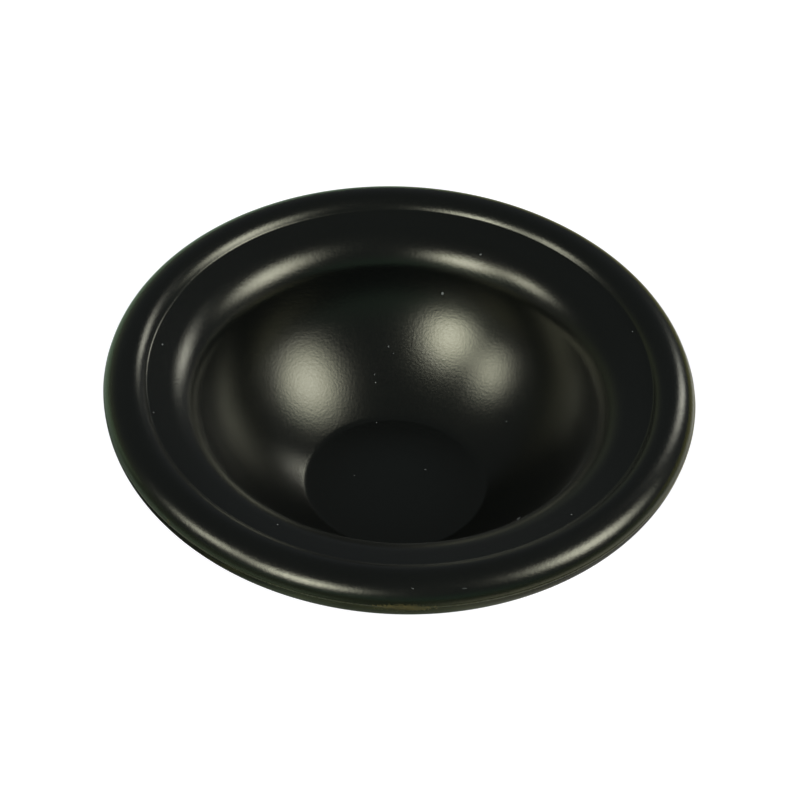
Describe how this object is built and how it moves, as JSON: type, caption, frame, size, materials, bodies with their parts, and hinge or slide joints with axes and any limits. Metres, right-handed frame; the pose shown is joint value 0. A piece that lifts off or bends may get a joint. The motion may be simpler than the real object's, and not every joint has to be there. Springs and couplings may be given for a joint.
{
  "type": "rubber diaphragm",
  "caption": "Moulded round rubber diaphragm: a deep bowl with a flat floor, a rounded shoulder, a sloping land and a thick sealing bead round its rim.",
  "frame": {"origin": "centre of the flat underside of the floor, on which the diaphragm stands", "axes": "+Z along the axis of the bowl, out of its mouth; X and Y are any two square directions across the bead"},
  "size_m": [0.0904, 0.0904, 0.0277],
  "materials": {
    "rubber": "black, moulded to a satin skin"
  },
  "bodies": {
    "root": {"diaphragm": "rubber"}
  },
  "joints": []
}
